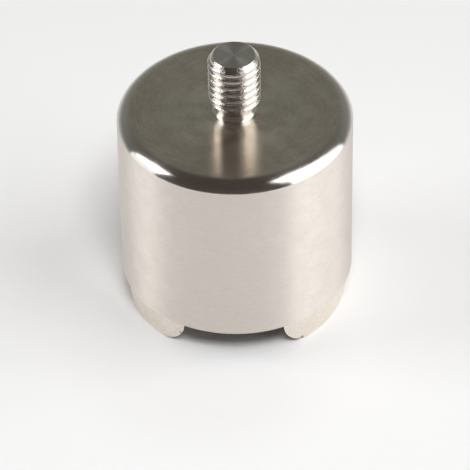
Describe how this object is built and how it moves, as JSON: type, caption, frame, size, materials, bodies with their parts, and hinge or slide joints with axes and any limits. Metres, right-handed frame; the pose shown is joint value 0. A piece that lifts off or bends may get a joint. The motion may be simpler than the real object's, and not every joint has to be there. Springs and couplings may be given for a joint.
{
  "type": "pot magnet",
  "caption": "Stud-mounted magnet: a turned stainless housing with a threaded stud and pole shoes standing out as feet with a gap between them for round work.",
  "frame": {"origin": "centre of the two pole faces, in the plane that the magnet stands on", "axes": "+Z along the stud, away from the pole faces; the gap between the feet runs along Y; the feet lie at -X and +X"},
  "size_m": [0.036, 0.036, 0.0457],
  "materials": {
    "stainless_steel": "satin",
    "nickel_plated_iron": "satin",
    "sintered_magnet": "satin",
    "potting_resin": "matte"
  },
  "bodies": {
    "root": {"housing": "stainless_steel", "pole_shoe_left": "nickel_plated_iron", "pole_shoe_right": "nickel_plated_iron", "magnet": "sintered_magnet", "potting": "potting_resin"}
  },
  "joints": []
}
